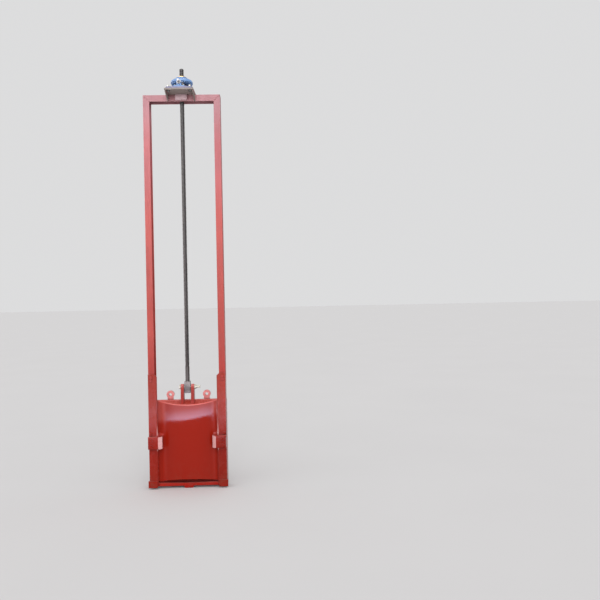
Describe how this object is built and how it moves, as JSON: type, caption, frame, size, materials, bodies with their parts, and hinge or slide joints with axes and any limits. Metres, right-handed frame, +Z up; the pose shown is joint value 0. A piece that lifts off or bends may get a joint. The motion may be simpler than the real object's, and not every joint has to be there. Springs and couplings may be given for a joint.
{
  "type": "sluice gate",
  "caption": "Wall-mounted sluice gate with an arched cast leaf in guides, a tall channel frame and a screw hoist with bevel gears on top.",
  "frame": {"origin": "on the wall face of the gate frame, at the middle of its lower edge", "axes": "+X to the right seen from the front, +Y back into the wall, +Z up along the stem"},
  "size_m": [0.616, 0.294, 3.284],
  "materials": {
    "gate_red": "red oxide paint on rough castings",
    "frame_red": "red oxide paint on rolled channel",
    "hoist_blue": "light blue gloss paint",
    "base_grey": "pale primer",
    "dark_steel": "oiled dark steel",
    "bright_steel": "turned steel",
    "bronze": "turned bronze"
  },
  "bodies": {
    "frame": {"seat_frame": "gate_red", "guide_left": "gate_red", "guide_right": "gate_red", "wedge_block_left": "gate_red", "wedge_block_right": "gate_red", "upright_left": "frame_red", "upright_right": "frame_red", "top_beam": "frame_red", "beam_packer": "base_grey", "seat_plate": "frame_red", "seat_gusset_left": "frame_red", "seat_gusset_right": "frame_red", "hoist_base": "base_grey", "bearing_block": "hoist_blue", "thrust_ring": "bright_steel"},
    "gate_leaf": {"leaf": "gate_red", "ear_left": "gate_red", "ear_right": "gate_red", "lift_pin": "bright_steel", "stem_block": "dark_steel", "stem": "dark_steel"},
    "crown": {"crown_gear": "hoist_blue", "drive_nut": "bronze"},
    "pinion": {"bevel_pinion": "dark_steel", "crank_shaft": "bright_steel"}
  },
  "joints": [
    {"name": "leaf_lift", "type": "slide", "parent": "frame", "child": "gate_leaf", "axis": [0, 0, 1], "range_m": [0, 0.6]},
    {"name": "crown_turn", "type": "hinge", "parent": "frame", "child": "crown", "pos_m": [0, -0.058, 3.15], "axis": [0, 0, 1], "continuous": true},
    {"name": "pinion_turn", "type": "hinge", "parent": "frame", "child": "pinion", "pos_m": [0, -0.15, 3.114], "axis": [0, 1, 0], "continuous": true}
  ],
  "couplings": [
    {"joint": "crown_turn", "follows": "leaf_lift", "rad_per_m": -628.32},
    {"joint": "pinion_turn", "follows": "leaf_lift", "rad_per_m": -2010.6}
  ]
}
